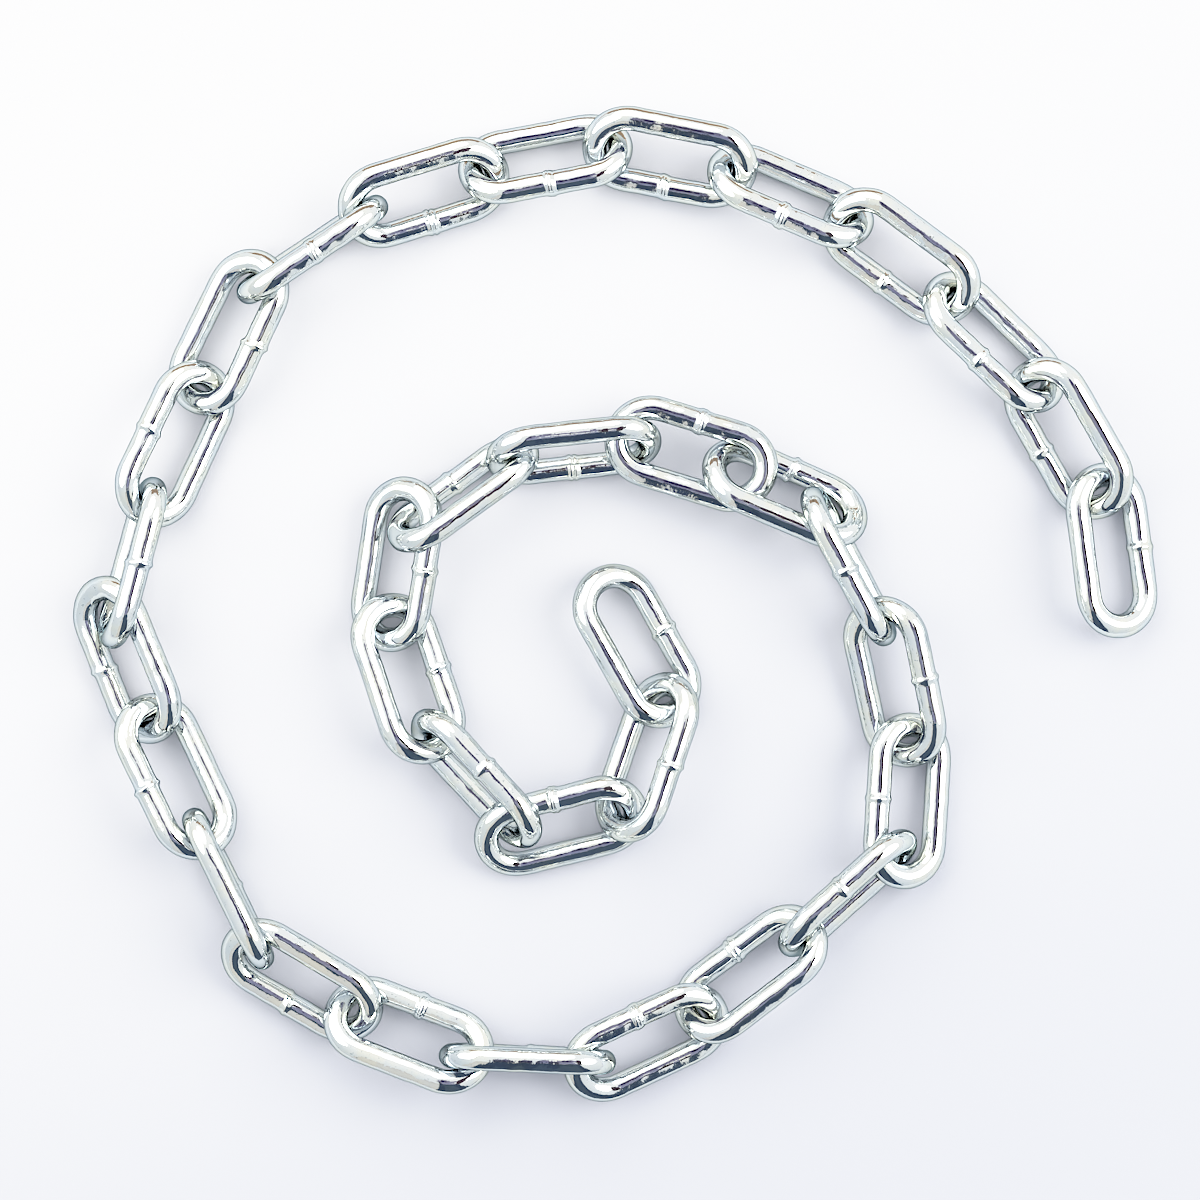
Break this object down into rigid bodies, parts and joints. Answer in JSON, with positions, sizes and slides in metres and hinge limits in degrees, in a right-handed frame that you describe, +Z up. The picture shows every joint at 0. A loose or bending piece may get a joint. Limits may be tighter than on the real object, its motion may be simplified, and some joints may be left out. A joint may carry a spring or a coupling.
{
  "type": "length of steel chain",
  "caption": "Welded round-wire steel chain, bright zinc plated, laid flat in an inward spiral with its links threaded through each other.",
  "frame": {"origin": "on the floor, below the middle of the whole chain's box", "axes": "+Z up from the floor that the chain lies on; +X along the longest side of its box, towards the outer end of the spiral"},
  "size_m": [0.223, 0.2032, 0.0194],
  "materials": {
    "bright_zinc": "bright zinc plating, glossy, slightly blue-white"
  },
  "bodies": {
    "root": {"link_01": "bright_zinc", "link_02": "bright_zinc", "link_03": "bright_zinc", "link_04": "bright_zinc", "link_05": "bright_zinc", "link_06": "bright_zinc", "link_07": "bright_zinc", "link_08": "bright_zinc", "link_09": "bright_zinc", "link_10": "bright_zinc", "link_11": "bright_zinc", "link_12": "bright_zinc", "link_13": "bright_zinc", "link_14": "bright_zinc", "link_15": "bright_zinc", "link_16": "bright_zinc", "link_17": "bright_zinc", "link_18": "bright_zinc", "link_19": "bright_zinc", "link_20": "bright_zinc", "link_21": "bright_zinc", "link_22": "bright_zinc", "link_23": "bright_zinc", "link_24": "bright_zinc", "link_25": "bright_zinc", "link_26": "bright_zinc", "link_27": "bright_zinc", "link_28": "bright_zinc", "link_29": "bright_zinc", "link_30": "bright_zinc", "link_31": "bright_zinc", "link_32": "bright_zinc", "link_33": "bright_zinc", "link_34": "bright_zinc"}
  },
  "joints": []
}
